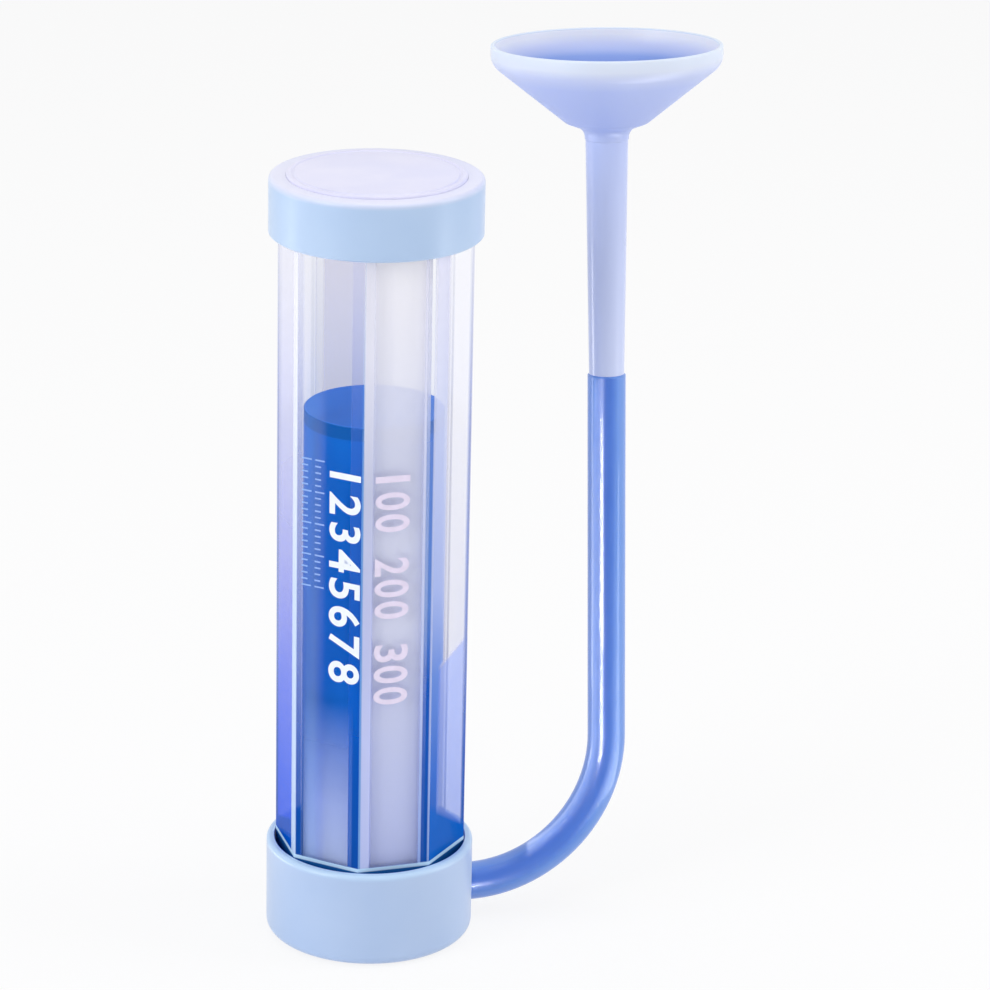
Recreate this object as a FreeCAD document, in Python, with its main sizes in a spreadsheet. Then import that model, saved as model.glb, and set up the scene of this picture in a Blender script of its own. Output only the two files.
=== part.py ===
# Breathing trainer: an eight-sided clear tube between two round caps, with a float inside that rises on
# the user's breath. Air comes in at the mouth cup, goes down the stem and the bent breathing tube, through
# the base's side, and up the centre pipe into the float, which is a bell closed at the top. A fixed piston
# head on the pipe nearly fills the bell, so the air lifts the bell and leaks away past the head. The air of
# the chamber leaves over the tube's end, between the cap's seat ribs.
#
# Frame: millimetres, +Z up, origin at the centre of the foot pad's lower face, on the table. The side port
# points along +X, and two of the tube's flats face +X and -X. The breathing tube leans back, towards +Y,
# about the port's axis.
import FreeCAD
import Part
import Sketcher
import math
import os

# Driving dimensions in millimetres, apart from lean_angle, which is in degrees.
SIZES = {
    # Whole body
    "cap_diameter": 64.0,
    "body_height": 242.4,
    "cap_height": 17.6,
    "base_height": 30.7,
    "shell_wall": 2.4,
    "bond_gap": 0.05,
    # Base
    "base_floor": 2.6,
    "base_round": 3.1,
    "rim_round": 1.4,
    "foot_diameter": 54.0,
    "foot_thickness": 1.4,
    "foot_proud": 0.4,
    "base_rib_width": 2.0,
    "base_rib_depth": 2.6,
    # Side port and air channel
    "port_height": 11.0,
    "grommet_diameter": 14.6,
    "grommet_length": 3.2,
    "grommet_recess": 1.0,
    "grommet_clearance": 0.1,
    "nipple_length": 13.0,
    "nipple_bore": 5.4,
    "nipple_stop": 14.0,
    "nipple_clearance": 0.05,
    "channel_floor": 5.2,
    # Chamber floor
    "plate_thickness": 2.0,
    "plate_gap": 1.5,
    "boss_diameter": 19.0,
    "socket_diameter": 16.0,
    "socket_height": 4.7,
    "socket_depth": 5.6,
    "locating_height": 5.0,
    "locating_wall": 1.2,
    "locating_gap": 0.2,
    "web_width": 2.0,
    "web_height": 5.0,
    "gasket_thickness": 1.2,
    "gasket_overhang": 0.5,
    # Eight-sided tube
    "across_flats": 54.4,
    "tube_wall": 2.0,
    "corner_round": 0.8,
    "film_thickness": 0.3,
    "film_margin": 0.3,
    "side_film_height": 60.0,
    "side_film_width": 17.0,
    "side_film_left": 9.2,
    # Centre pipe and piston head
    "riser_diameter": 11.0,
    "riser_wall": 1.5,
    "head_room": 11.6,
    "head_height": 8.0,
    "head_web": 2.0,
    "head_hub_wall": 2.2,
    "head_rim_wall": 1.8,
    "head_clearance": 0.35,
    # Float
    "float_diameter": 42.4,
    "float_height": 145.4,
    "float_wall": 1.2,
    "lid_thickness": 4.2,
    "lid_spigot": 3.0,
    "lid_chamfer": 0.4,
    "landing_diameter": 26.0,
    "landing_thickness": 5.0,
    "guide_height": 8.0,
    "guide_clearance": 0.3,
    "guide_hub_wall": 2.2,
    "guide_rim_wall": 1.5,
    "guide_spoke": 2.0,
    # Cap
    "cap_top": 2.4,
    "cap_round": 1.3,
    "cap_rim_chamfer": 0.6,
    "vent_height": 1.5,
    "seat_rib_width": 3.0,
    "plug_depth": 10.0,
    "plug_wall": 1.6,
    "plug_clearance": 0.3,
    "grip_section": 1.6,
    "grip_clearance": 0.05,
    "grip_drop": 5.0,
    "inlay_diameter": 53.6,
    "inlay_recess": 1.0,
    "inlay_proud": 0.8,
    "inlay_gap": 0.1,
    "inlay_chamfer": 0.4,
    "bumper_diameter": 24.0,
    "bumper_thickness": 3.0,
    # Breathing tube
    "hose_diameter": 11.8,
    "hose_bore": 8.4,
    "hose_reach": 78.2,
    "hose_bend": 44.0,
    "hose_rise": 160.5,
    "hose_end_chamfer": 0.5,
    "lean_angle": 5.1,
    # Mouthpiece, with heights along the stem from the port's axis
    "cup_rise": 262.5,
    "cup_diameter": 70.4,
    "cup_wall": 1.9,
    "cup_band": 1.2,
    "cup_hip_radius": 9.2,
    "cup_lip_chamfer": 0.6,
    "cup_shoulder_diameter": 25.4,
    "cup_shoulder_depth": 23.8,
    "flare_diameter": 17.2,
    "flare_depth": 25.3,
    "neck_diameter": 13.8,
    "neck_depth": 27.3,
    "collar_diameter": 13.3,
    "collar_depth": 29.2,
    "bowl_floor_diameter": 20.0,
    "stem_top_diameter": 13.0,
    "stem_foot_diameter": 10.9,
    "stem_plug_diameter": 10.4,
    "stem_bore_top": 8.4,
    "stem_bore_foot": 5.0,
    "spigot_length": 16.0,
    "spigot_clearance": 0.04,
    "spigot_chamfer": 0.5,
    # Soft rings on the nipple and the spigot, drawn as squeezed
    "seal_section": 1.2,
    "seal_clearance": 0.03,
    "nipple_seal_back": 5.0,
    "spigot_seal_up": 6.0,
}

FLATS = 8
BASE_RIBS = 8
SEAT_RIBS = 8
GUIDE_SPOKES = 6
HEAD_RIBS = 6
PLATE_WEBS = 3
HIP_STEPS = 3
FULL_TURN = 360.0
HALF_TURN = 180.0
QUARTER_TURN = 90.0
EIGHTH_TURN = 45.0
CONE_ANGLE = 51.0  # the cup's cone against its axis, in degrees
CORNER_SHARE = 1 / (2 * math.cos(math.pi / FLATS))  # corner radius over the width across flats
SIDE_SHARE = math.tan(math.pi / FLATS)  # side length over the width across flats
NEAR = 0.02  # how close an edge has to lie to the place where it is looked for

ORIGIN = FreeCAD.Vector(0, 0, 0)
UP = FreeCAD.Vector(0, 0, 1)

doc = FreeCAD.newDocument("breathing_trainer")


class Size:
    """A length or angle that knows its number and the formula that works it out from the sheet."""

    def __init__(self, number, formula):
        self.number = number
        self.formula = formula

    def __add__(self, other):
        return Size(self.number + number(other), f"({self.formula} + {formula(other)})")

    def __sub__(self, other):
        return Size(self.number - number(other), f"({self.formula} - {formula(other)})")

    def __mul__(self, share):
        return Size(self.number * share, f"({self.formula} * {share!r})")

    def __truediv__(self, count):
        return Size(self.number / count, f"({self.formula} / {count!r})")

    def __neg__(self):
        return Size(-self.number, f"(-{self.formula})")


def number(value):
    return value.number if isinstance(value, Size) else float(value)


def formula(value):
    return value.formula if isinstance(value, Size) else repr(float(value))


def write_sheet():
    """Writes the driving dimensions into the sheet and gives them back as sizes, by name."""
    sheet = doc.addObject("Spreadsheet::Sheet", "Sizes")
    named = {}
    for row, (alias, value) in enumerate(SIZES.items(), start=1):
        sheet.set(f"A{row}", alias)
        sheet.set(f"B{row}", str(value))
        sheet.setAlias(f"B{row}", alias)
        named[alias] = Size(value, f"Sizes.{alias}")
    doc.recompute()
    return named


s = write_sheet()

# Levels and radii that several pieces share
cap_radius = s["cap_diameter"] / 2
shell_bore = cap_radius - s["shell_wall"]
floor_top = s["foot_proud"] + s["base_floor"]
plate_foot = s["port_height"] + s["hose_diameter"] / 2 + s["plate_gap"]
plate_top = plate_foot + s["plate_thickness"]
tube_foot = plate_top + s["gasket_thickness"]
cap_underside = s["body_height"] - s["cap_top"]
film_foot = tube_foot + s["locating_height"]
tube_top = cap_underside - s["vent_height"]
cap_rim = s["body_height"] - s["cap_height"]
across_bore = s["across_flats"] - s["tube_wall"] * 2
hose_radius = s["hose_diameter"] / 2
hose_bore_radius = s["hose_bore"] / 2
nipple_radius = hose_bore_radius - s["nipple_clearance"]
hose_start = s["nipple_stop"]
nipple_end = hose_start + s["nipple_length"]
riser_radius = s["riser_diameter"] / 2
riser_bore = riser_radius - s["riser_wall"]
riser_foot = plate_top - s["socket_depth"]
socket_top = plate_top + s["socket_height"]
landing_top = plate_top + s["landing_thickness"]
float_top = landing_top + s["float_height"]
float_radius = s["float_diameter"] / 2
float_bore = float_radius - s["float_wall"]
lid_foot = float_top - s["lid_thickness"]
riser_top = lid_foot - s["lid_spigot"] - s["head_room"]
plug_radius = across_bore / 2 - s["plug_clearance"]
plug_bore = plug_radius - s["plug_wall"]
collar_foot = s["cup_rise"] - s["collar_depth"]
bowl_floor = s["cup_rise"] - s["cup_shoulder_depth"] + s["cup_wall"] / 4
spigot_radius = hose_bore_radius - s["spigot_clearance"]
spigot_foot = s["hose_rise"] - s["spigot_length"]
seal_place = nipple_end - s["nipple_seal_back"]
seal_level = spigot_foot + s["spigot_seal_up"]
seal_bore = hose_bore_radius - s["seal_clearance"] - s["seal_section"]
groove_half = s["seal_section"] / 2 + s["bond_gap"]


def new_body(label):
    body = doc.addObject("PartDesign::Body", label)
    body.Label = label
    return body


def new_sketch(body, name, role, offset=None):
    """A sketch on one of the body's own origin planes, moved along the plane's normal by offset."""
    plane = next(feature for feature in body.Origin.OriginFeatures if feature.Role == role)
    sketch = body.newObject("Sketcher::SketchObject", f"{body.Label}_{name}")
    sketch.AttachmentSupport = [(plane, "")]
    sketch.MapMode = "FlatFace"
    if offset is not None:
        sketch.AttachmentOffset = FreeCAD.Placement(FreeCAD.Vector(0, 0, number(offset)), FreeCAD.Rotation())
        sketch.setExpression("AttachmentOffset.Base.z", formula(offset))
    return sketch


def bind(sketch, kind, *place_and_size):
    """Adds a constraint whose size, the last value, is bound to its formula."""
    size = place_and_size[-1]
    index = sketch.addConstraint(Sketcher.Constraint(kind, *place_and_size[:-1], number(size)))
    if isinstance(size, Size):
        sketch.setExpression(f"Constraints[{index}]", formula(size))


def bind_point(sketch, edge, end, across, up):
    """Holds one end of an edge at a distance across and up from the sketch's origin."""
    for kind, axis, size in (("DistanceX", -2, across), ("DistanceY", -1, up)):
        if number(size) == 0:
            sketch.addConstraint(Sketcher.Constraint("PointOnObject", edge, end, axis))
        else:
            bind(sketch, kind, -1, 1, edge, end, size)


def outline(sketch, corners):
    """A closed outline of straight lines through the corners, each given as (across, up)."""
    points = [FreeCAD.Vector(number(across), number(up), 0) for across, up in corners]
    following = points[1:] + points[:1]
    first = sketch.GeometryCount
    for start, end in zip(points, following):
        sketch.addGeometry(Part.LineSegment(start, end), False)
    for step, (across, up) in enumerate(corners):
        after = first + (step + 1) % len(corners)
        sketch.addConstraint(Sketcher.Constraint("Coincident", first + step, 2, after, 1))
        bind_point(sketch, first + step, 1, across, up)


def circle(sketch, radius, across=0, up=0):
    centre = FreeCAD.Vector(number(across), number(up), 0)
    edge = sketch.addGeometry(Part.Circle(centre, UP, number(radius)), False)
    if number(across) == 0 and number(up) == 0:
        sketch.addConstraint(Sketcher.Constraint("Coincident", edge, 3, -1, 1))
    else:
        bind_point(sketch, edge, 3, across, up)
    bind(sketch, "Radius", edge, radius)


def octagon(sketch, across_flats):
    """A regular octagon about the origin with one flat square to the sketch's first axis."""
    corner_radius = across_flats * CORNER_SHARE
    first = sketch.GeometryCount
    turn = 2 * math.pi / FLATS
    corners = [
        FreeCAD.Vector(math.cos(angle), math.sin(angle), 0) * corner_radius.number
        for angle in [(step + 0.5) * turn for step in range(FLATS)]
    ]
    for start, end in zip(corners, corners[1:] + corners[:1]):
        sketch.addGeometry(Part.LineSegment(start, end), False)
    ring = sketch.addGeometry(Part.Circle(ORIGIN, UP, corner_radius.number), True)
    sketch.addConstraint(Sketcher.Constraint("Coincident", ring, 3, -1, 1))
    for step in range(FLATS):
        after = first + (step + 1) % FLATS
        sketch.addConstraint(Sketcher.Constraint("Coincident", first + step, 2, after, 1))
        sketch.addConstraint(Sketcher.Constraint("PointOnObject", first + step, 1, ring))
    for step in range(1, FLATS):
        sketch.addConstraint(Sketcher.Constraint("Equal", first, first + step))
    sketch.addConstraint(Sketcher.Constraint("Vertical", first + FLATS - 1))
    bind(sketch, "Radius", ring, corner_radius)


def rectangle(sketch, left, low, right, high):
    """A rectangle between two corners, which may lie on either side of the origin."""
    corners = [(left, low), (right, low), (right, high), (left, high)]
    outline(sketch, corners)


def pad(body, sketch, height, name="Pad", reverse=False, both_sides=False):
    feature = body.newObject("PartDesign::Pad", f"{body.Label}_{name}")
    feature.Profile = sketch
    feature.Length = number(height)
    feature.setExpression("Length", formula(height))
    feature.Reversed = reverse
    feature.Midplane = both_sides
    return feature


def pocket(body, sketch, depth, name, reverse=False, both_sides=False):
    """Cuts the sketch out of the body, and stops the build if nothing was cut."""
    doc.recompute()
    before = body.Shape.Volume
    feature = body.newObject("PartDesign::Pocket", f"{body.Label}_{name}")
    feature.Profile = sketch
    feature.Length = number(depth)
    feature.setExpression("Length", formula(depth))
    feature.Reversed = reverse
    feature.Midplane = both_sides
    doc.recompute()
    if not body.Shape.Volume < before:
        raise RuntimeError(f"{feature.Name} cut nothing")
    return feature


def turned(body, corners, name="Turned"):
    """A solid turned about Z from an outline of (radius, height) corners."""
    sketch = new_sketch(body, f"{name}_Profile", "XZ_Plane")
    outline(sketch, corners)
    feature = body.newObject("PartDesign::Revolution", f"{body.Label}_{name}")
    feature.Profile = sketch
    feature.ReferenceAxis = (sketch, ["V_Axis"])
    feature.Angle = FULL_TURN
    return feature


def polar(body, feature, count, name, angle=FULL_TURN):
    """Repeats a feature about the body's Z axis."""
    axis = next(item for item in body.Origin.OriginFeatures if item.Role == "Z_Axis")
    pattern = body.newObject("PartDesign::PolarPattern", f"{body.Label}_{name}")
    pattern.Originals = [feature]
    pattern.Axis = (axis, [""])
    pattern.Angle = angle
    pattern.Occurrences = count
    body.Tip = pattern
    return pattern


def round_edges(body, feature, radius, name, places):
    """Rounds the circular edges about Z that lie at the given (radius, height) places."""
    doc.recompute()
    found = []
    for index, edge in enumerate(feature.Shape.Edges, start=1):
        if not isinstance(edge.Curve, Part.Circle):
            continue
        for place_radius, place_height in places:
            same_radius = abs(edge.Curve.Radius - number(place_radius)) < NEAR
            if same_radius and abs(edge.Curve.Center.z - number(place_height)) < NEAR:
                found.append(f"Edge{index}")
    if len(found) < len(places):
        raise RuntimeError(f"{body.Label}: only {len(found)} of {len(places)} edges to round were found")
    fillet = body.newObject("PartDesign::Fillet", f"{body.Label}_{name}")
    fillet.Base = (feature, found)
    fillet.Radius = number(radius)
    fillet.setExpression("Radius", formula(radius))
    return fillet


def round_uprights(body, feature, radius, corner_radius, name):
    """Rounds the straight upright edges that stand at corner_radius from the axis."""
    doc.recompute()
    found = []
    for index, edge in enumerate(feature.Shape.Edges, start=1):
        middle = edge.CenterOfMass
        upright = isinstance(edge.Curve, Part.Line) and abs(edge.tangentAt(edge.FirstParameter).z) > 1 - NEAR
        if upright and abs(math.hypot(middle.x, middle.y) - number(corner_radius)) < NEAR:
            found.append(f"Edge{index}")
    fillet = body.newObject("PartDesign::Fillet", f"{body.Label}_{name}")
    fillet.Base = (feature, found)
    fillet.Radius = number(radius)
    fillet.setExpression("Radius", formula(radius))
    return fillet


def place(item, across, up, lean=None):
    """Sets a piece's own place: along X, up Z and, for the leaning pieces, turned back about X."""
    item.Placement = FreeCAD.Placement(
        FreeCAD.Vector(number(across), 0, number(up)),
        FreeCAD.Rotation(FreeCAD.Vector(1, 0, 0), -number(lean) if lean else 0),
    )
    item.setExpression("Placement.Base.x", formula(across))
    item.setExpression("Placement.Base.z", formula(up))
    if lean:
        item.setExpression("Placement.Rotation.Angle", formula(-lean))


def plain_ring(label, outer, inner, foot, height):
    """A flat ring from two cylinders about Z."""
    solids = []
    for name, radius in (("Outside", outer), ("Hole", inner)):
        cylinder = doc.addObject("Part::Cylinder", f"{label}_{name}")
        cylinder.setExpression("Radius", formula(radius))
        cylinder.setExpression("Height", formula(height))
        solids.append(cylinder)
    ring = doc.addObject("Part::Cut", label)
    ring.Base, ring.Tool = solids
    ring.Label = label
    place(ring, 0, foot)
    return ring


def soft_ring(label):
    """A square-section ring that seals against the breathing tube's bore, with its foot on the origin."""
    return plain_ring(label, hose_bore_radius - s["seal_clearance"], seal_bore, 0, s["seal_section"])


def foot_pad():
    """Soft non-slip disc, sunk in the base's underside and a little proud of it."""
    pad_disc = doc.addObject("Part::Cylinder", "foot_pad")
    pad_disc.Label = "foot_pad"
    pad_disc.setExpression("Radius", formula(s["foot_diameter"] / 2))
    pad_disc.setExpression("Height", formula(s["foot_thickness"]))
    return pad_disc


def base_shell():
    """Base cup: rounded foot, recess for the foot pad, eight ribs that carry the floor plate, side port."""
    body = new_body("base_shell")
    foot = s["foot_proud"]
    recess = s["foot_diameter"] / 2 + s["bond_gap"]
    turned(
        body,
        [
            (0, s["foot_thickness"]),
            (recess, s["foot_thickness"]),
            (recess, foot),
            (cap_radius, foot),
            (cap_radius, s["base_height"]),
            (shell_bore, s["base_height"]),
            (shell_bore, floor_top),
            (0, floor_top),
        ],
    )
    rib_sketch = new_sketch(body, "Rib_Profile", "XY_Plane", floor_top)
    half = s["base_rib_width"] / 2
    rectangle(rib_sketch, shell_bore - s["base_rib_depth"], -half, shell_bore + s["shell_wall"] / 4, half)
    rib_sketch.AttachmentOffset = FreeCAD.Placement(
        FreeCAD.Vector(0, 0, floor_top.number), FreeCAD.Rotation(UP, FULL_TURN / BASE_RIBS / 2)
    )
    rib = pad(body, rib_sketch, plate_foot - floor_top, "Rib")
    polar(body, rib, BASE_RIBS, "Ribs")
    port_sketch = new_sketch(body, "Port_Profile", "YZ_Plane")
    circle(port_sketch, s["grommet_diameter"] / 2 + s["bond_gap"], 0, s["port_height"])
    port = pocket(body, port_sketch, cap_radius + s["shell_wall"], "Port", reverse=True)
    foot_edge = round_edges(body, port, s["base_round"], "Foot_Round", [(cap_radius, foot)])
    rim_places = [(cap_radius, s["base_height"])]
    round_edges(body, foot_edge, s["rim_round"], "Rim_Round", rim_places)
    return body


def air_manifold():
    """Chamber floor in one moulding: plate, centre boss with the air channel, pipe socket and side nipple."""
    body = new_body("air_manifold")
    plate_radius = shell_bore - s["bond_gap"] * 2
    boss = s["boss_diameter"] / 2
    socket_bore = riser_radius + s["bond_gap"]
    channel_end = floor_top + s["channel_floor"]
    turned(
        body,
        [
            (0, floor_top),
            (boss, floor_top),
            (boss, plate_foot),
            (plate_radius, plate_foot),
            (plate_radius, plate_top),
            (s["socket_diameter"] / 2, plate_top),
            (s["socket_diameter"] / 2, socket_top),
            (socket_bore, socket_top),
            (socket_bore, riser_foot),
            (riser_bore, riser_foot),
            (riser_bore, channel_end),
            (0, channel_end),
        ],
    )
    locating_sketch = new_sketch(body, "Locating_Profile", "XY_Plane", plate_foot)
    locating_across = across_bore - s["locating_gap"] * 2
    octagon(locating_sketch, locating_across)
    octagon(locating_sketch, locating_across - s["locating_wall"] * 2)
    pad(body, locating_sketch, s["plate_thickness"] + s["locating_height"], "Locating_Wall")
    for name, radius, end in (
        ("Stop_Collar", hose_radius, hose_start - s["bond_gap"]),
        ("Nipple", nipple_radius, nipple_end),
    ):
        root = riser_radius
        sketch = new_sketch(body, f"{name}_Profile", "YZ_Plane", root)
        circle(sketch, radius, 0, s["port_height"])
        pad(body, sketch, end - root, name)
    web_sketch = new_sketch(body, "Web_Profile", "XY_Plane", plate_foot)
    half = s["web_width"] / 2
    web_end = plate_radius - s["base_rib_depth"] - s["web_width"]
    rectangle(web_sketch, -half, boss - s["web_width"], half, web_end)
    web = pad(body, web_sketch, s["web_height"], "Web", reverse=True)
    polar(body, web, PLATE_WEBS, "Webs", HALF_TURN)
    bore_sketch = new_sketch(body, "Bore_Profile", "YZ_Plane")
    circle(bore_sketch, s["nipple_bore"] / 2, 0, s["port_height"])
    pocket(body, bore_sketch, nipple_end + s["nipple_stop"], "Bore", reverse=True)
    groove_sketch = new_sketch(body, "Groove_Profile", "YZ_Plane", seal_place - groove_half)
    circle(groove_sketch, hose_radius, 0, s["port_height"])
    circle(groove_sketch, seal_bore - s["bond_gap"], 0, s["port_height"])
    pocket(body, groove_sketch, groove_half * 2, "Groove", reverse=True)
    return body


def swivel_seal():
    """Soft ring on the nipple, in the breathing tube's bore."""
    ring = soft_ring("swivel_seal")
    ring.Placement.Rotation = FreeCAD.Rotation(FreeCAD.Vector(0, 1, 0), QUARTER_TURN)
    ring.setExpression("Placement.Base.x", formula(seal_place - s["seal_section"] / 2))
    ring.setExpression("Placement.Base.z", formula(s["port_height"]))
    return ring


def port_grommet():
    """Bush in the base wall that the breathing tube turns in."""
    body = new_body("port_grommet")
    sketch = new_sketch(body, "Profile", "YZ_Plane", cap_radius - s["grommet_recess"])
    circle(sketch, s["grommet_diameter"] / 2, 0, s["port_height"])
    circle(sketch, hose_radius + s["grommet_clearance"], 0, s["port_height"])
    pad(body, sketch, s["grommet_length"], reverse=True)
    return body


def octagon_ring(label, across_outer, across_inner, foot, height):
    """An eight-sided ring or tube standing at foot."""
    body = new_body(label)
    sketch = new_sketch(body, "Profile", "XY_Plane", foot)
    octagon(sketch, across_outer)
    octagon(sketch, across_inner)
    return body, pad(body, sketch, height)


def tube_gasket():
    inner = across_bore - s["gasket_overhang"] * 2
    locating_outer = across_bore - s["locating_gap"] * 2
    body, _ = octagon_ring("tube_gasket", s["across_flats"], locating_outer + s["bond_gap"] * 2,
                           plate_top, s["gasket_thickness"])
    return body


def clear_tube():
    body, walls = octagon_ring("clear_tube", s["across_flats"], across_bore, tube_foot, tube_top - tube_foot)
    round_uprights(body, walls, s["corner_round"], s["across_flats"] * CORNER_SHARE, "Corner_Round")
    return body


def film(label, width, height):
    """A flat strip of film that stands on the floor plate's locating wall."""
    strip = doc.addObject("Part::Box", label)
    strip.Label = label
    strip.setExpression("Length", formula(width))
    strip.setExpression("Width", formula(s["film_thickness"]))
    strip.setExpression("Height", formula(height))
    strip.setExpression("Placement.Base.z", formula(film_foot))
    return strip


def scale_film():
    """Pale milky film against the inside of the flat that faces -Y, up to the cap's plug."""
    width = across_bore * SIDE_SHARE - s["film_margin"] * 2
    top = cap_underside - s["plug_depth"] - s["film_margin"]
    strip = film("scale_film", width, top - film_foot)
    strip.setExpression("Placement.Base.x", formula(-(width / 2)))
    strip.setExpression("Placement.Base.y", formula(-(across_bore / 2)))
    return strip


def side_film():
    """Short pale film against the inside of the next flat, between -X and -Y, nearer to its -X side."""
    strip = film("side_film", s["side_film_width"], s["side_film_height"])
    flat = across_bore / 2
    strip.Placement.Rotation = FreeCAD.Rotation(UP, -EIGHTH_TURN)
    strip.setExpression("Placement.Base.x", formula(-(s["side_film_left"] + flat) * math.sqrt(0.5)))
    strip.setExpression("Placement.Base.y", formula((s["side_film_left"] - flat) * math.sqrt(0.5)))
    return strip


def riser_pipe():
    return plain_ring("riser_pipe", riser_radius, riser_bore, riser_foot, riser_top - riser_foot)


def riser_head():
    """Piston head: a hub on the pipe and a rim close to the float's bore, joined by a ribbed web."""
    body = new_body("riser_head")
    hub_bore = riser_radius + s["bond_gap"]
    hub = hub_bore + s["head_hub_wall"]
    rim = float_bore - s["head_clearance"]
    rim_bore = rim - s["head_rim_wall"]
    foot = riser_top - s["head_height"]
    web_top = foot + s["head_web"]
    turned(
        body,
        [
            (hub_bore, foot),
            (rim, foot),
            (rim, riser_top),
            (rim_bore, riser_top),
            (rim_bore, web_top),
            (hub, web_top),
            (hub, riser_top),
            (hub_bore, riser_top),
        ],
    )
    rib_sketch = new_sketch(body, "Rib_Profile", "XY_Plane", foot)
    half = s["head_web"] / 2
    rectangle(rib_sketch, hub - s["head_hub_wall"] / 2, -half, rim_bore + s["head_rim_wall"] / 2, half)
    rib = pad(body, rib_sketch, s["head_height"] - s["head_web"], "Rib")
    polar(body, rib, HEAD_RIBS, "Ribs")
    return body


def landing_ring():
    """Soft ring on the chamber floor that the float comes down on."""
    inner = s["socket_diameter"] / 2 + s["bond_gap"] * 2
    return plain_ring("landing_ring", s["landing_diameter"] / 2, inner, plate_top, s["landing_thickness"])


def float_tube():
    return plain_ring("float_tube", float_radius, float_bore, landing_top, lid_foot - landing_top)


def float_lid():
    """Solid disc that closes the float's top, with a short spigot in the tube."""
    body = new_body("float_lid")
    spigot = float_bore - s["bond_gap"]
    spigot_foot = lid_foot - s["lid_spigot"]
    turned(
        body,
        [
            (0, spigot_foot),
            (spigot, spigot_foot),
            (spigot, lid_foot),
            (float_radius, lid_foot),
            (float_radius, float_top - s["lid_chamfer"]),
            (float_radius - s["lid_chamfer"], float_top),
            (0, float_top),
        ],
    )
    return body


def float_guide():
    """Spoked guide at the float's foot: a rim in the tube and a hub that slides on the pipe."""
    body = new_body("float_guide")
    rim = float_bore - s["bond_gap"]
    rim_bore = rim - s["guide_rim_wall"]
    hub_bore = riser_radius + s["guide_clearance"]
    hub = hub_bore + s["guide_hub_wall"]
    for name, outer, inner in (("Rim", rim, rim_bore), ("Hub", hub, hub_bore)):
        sketch = new_sketch(body, f"{name}_Profile", "XY_Plane", landing_top)
        circle(sketch, outer)
        circle(sketch, inner)
        if name == "Rim":
            pad(body, sketch, s["guide_height"], name)
            spoke_sketch = new_sketch(body, "Spoke_Profile", "XY_Plane", landing_top)
            half = s["guide_spoke"] / 2
            start = hub - s["guide_hub_wall"] / 2
            rectangle(spoke_sketch, start, -half, rim_bore + s["guide_rim_wall"] / 2, half)
            spoke = pad(body, spoke_sketch, s["guide_height"] / 2, "Spoke")
            polar(body, spoke, GUIDE_SPOKES, "Spokes")
            doc.recompute()
        else:
            pad(body, sketch, s["guide_height"], name)
    return body


def cap_shell():
    """Push-on cap: skirt outside the tube, plug ring inside it, and seat ribs with vents between them."""
    body = new_body("cap_shell")
    recess_floor = s["body_height"] - s["inlay_recess"]
    recess = s["inlay_diameter"] / 2 + s["inlay_gap"]
    plug_foot = cap_underside - s["plug_depth"]
    grip_level = cap_underside - s["grip_drop"]
    grip_half = s["grip_section"] / 2 + s["bond_gap"]
    groove_floor = across_bore / 2 - s["grip_clearance"] - s["grip_section"] - s["bond_gap"]
    turned(
        body,
        [
            (0, cap_underside),
            (plug_bore, cap_underside),
            (plug_bore, plug_foot),
            (plug_radius, plug_foot),
            (plug_radius, grip_level - grip_half),
            (groove_floor, grip_level - grip_half),
            (groove_floor, grip_level + grip_half),
            (plug_radius, grip_level + grip_half),
            (plug_radius, cap_underside),
            (shell_bore, cap_underside),
            (shell_bore, cap_rim),
            (cap_radius - s["cap_rim_chamfer"], cap_rim),
            (cap_radius, cap_rim + s["cap_rim_chamfer"]),
            (cap_radius, s["body_height"]),
            (recess, s["body_height"]),
            (recess, recess_floor),
            (0, recess_floor),
        ],
    )
    rib_sketch = new_sketch(body, "Seat_Profile", "XY_Plane", tube_top)
    half = s["seat_rib_width"] / 2
    outside = shell_bore + s["shell_wall"] / 4
    rectangle(rib_sketch, plug_radius - s["plug_wall"] / 4, -half, outside, half)
    rib = pad(body, rib_sketch, s["vent_height"] + s["cap_top"] / 4, "Seat_Rib")
    ribs = polar(body, rib, SEAT_RIBS, "Seat_Ribs")
    round_edges(body, ribs, s["cap_round"], "Top_Round", [(cap_radius, s["body_height"])])
    return body


def cap_inlay():
    """Plain raised disc in the cap's top."""
    body = new_body("cap_inlay")
    foot = s["body_height"] - s["inlay_recess"]
    radius = s["inlay_diameter"] / 2
    top = s["body_height"] + s["inlay_proud"]
    turned(
        body,
        [
            (0, foot),
            (radius, foot),
            (radius, top - s["inlay_chamfer"]),
            (radius - s["inlay_chamfer"], top),
            (0, top),
        ],
    )
    return body


def cap_bumper():
    """Soft disc under the cap that stops the float."""
    body = new_body("cap_bumper")
    sketch = new_sketch(body, "Profile", "XY_Plane", cap_underside - s["bumper_thickness"])
    circle(sketch, s["bumper_diameter"] / 2)
    pad(body, sketch, s["bumper_thickness"])
    return body


def cap_grip_ring():
    """Square-section ring that grips the tube's flats from inside and leaves its corners open."""
    outer = across_bore / 2 - s["grip_clearance"]
    foot = cap_underside - s["grip_drop"] - s["grip_section"] / 2
    return plain_ring("cap_grip_ring", outer, outer - s["grip_section"], foot, s["grip_section"])


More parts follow.
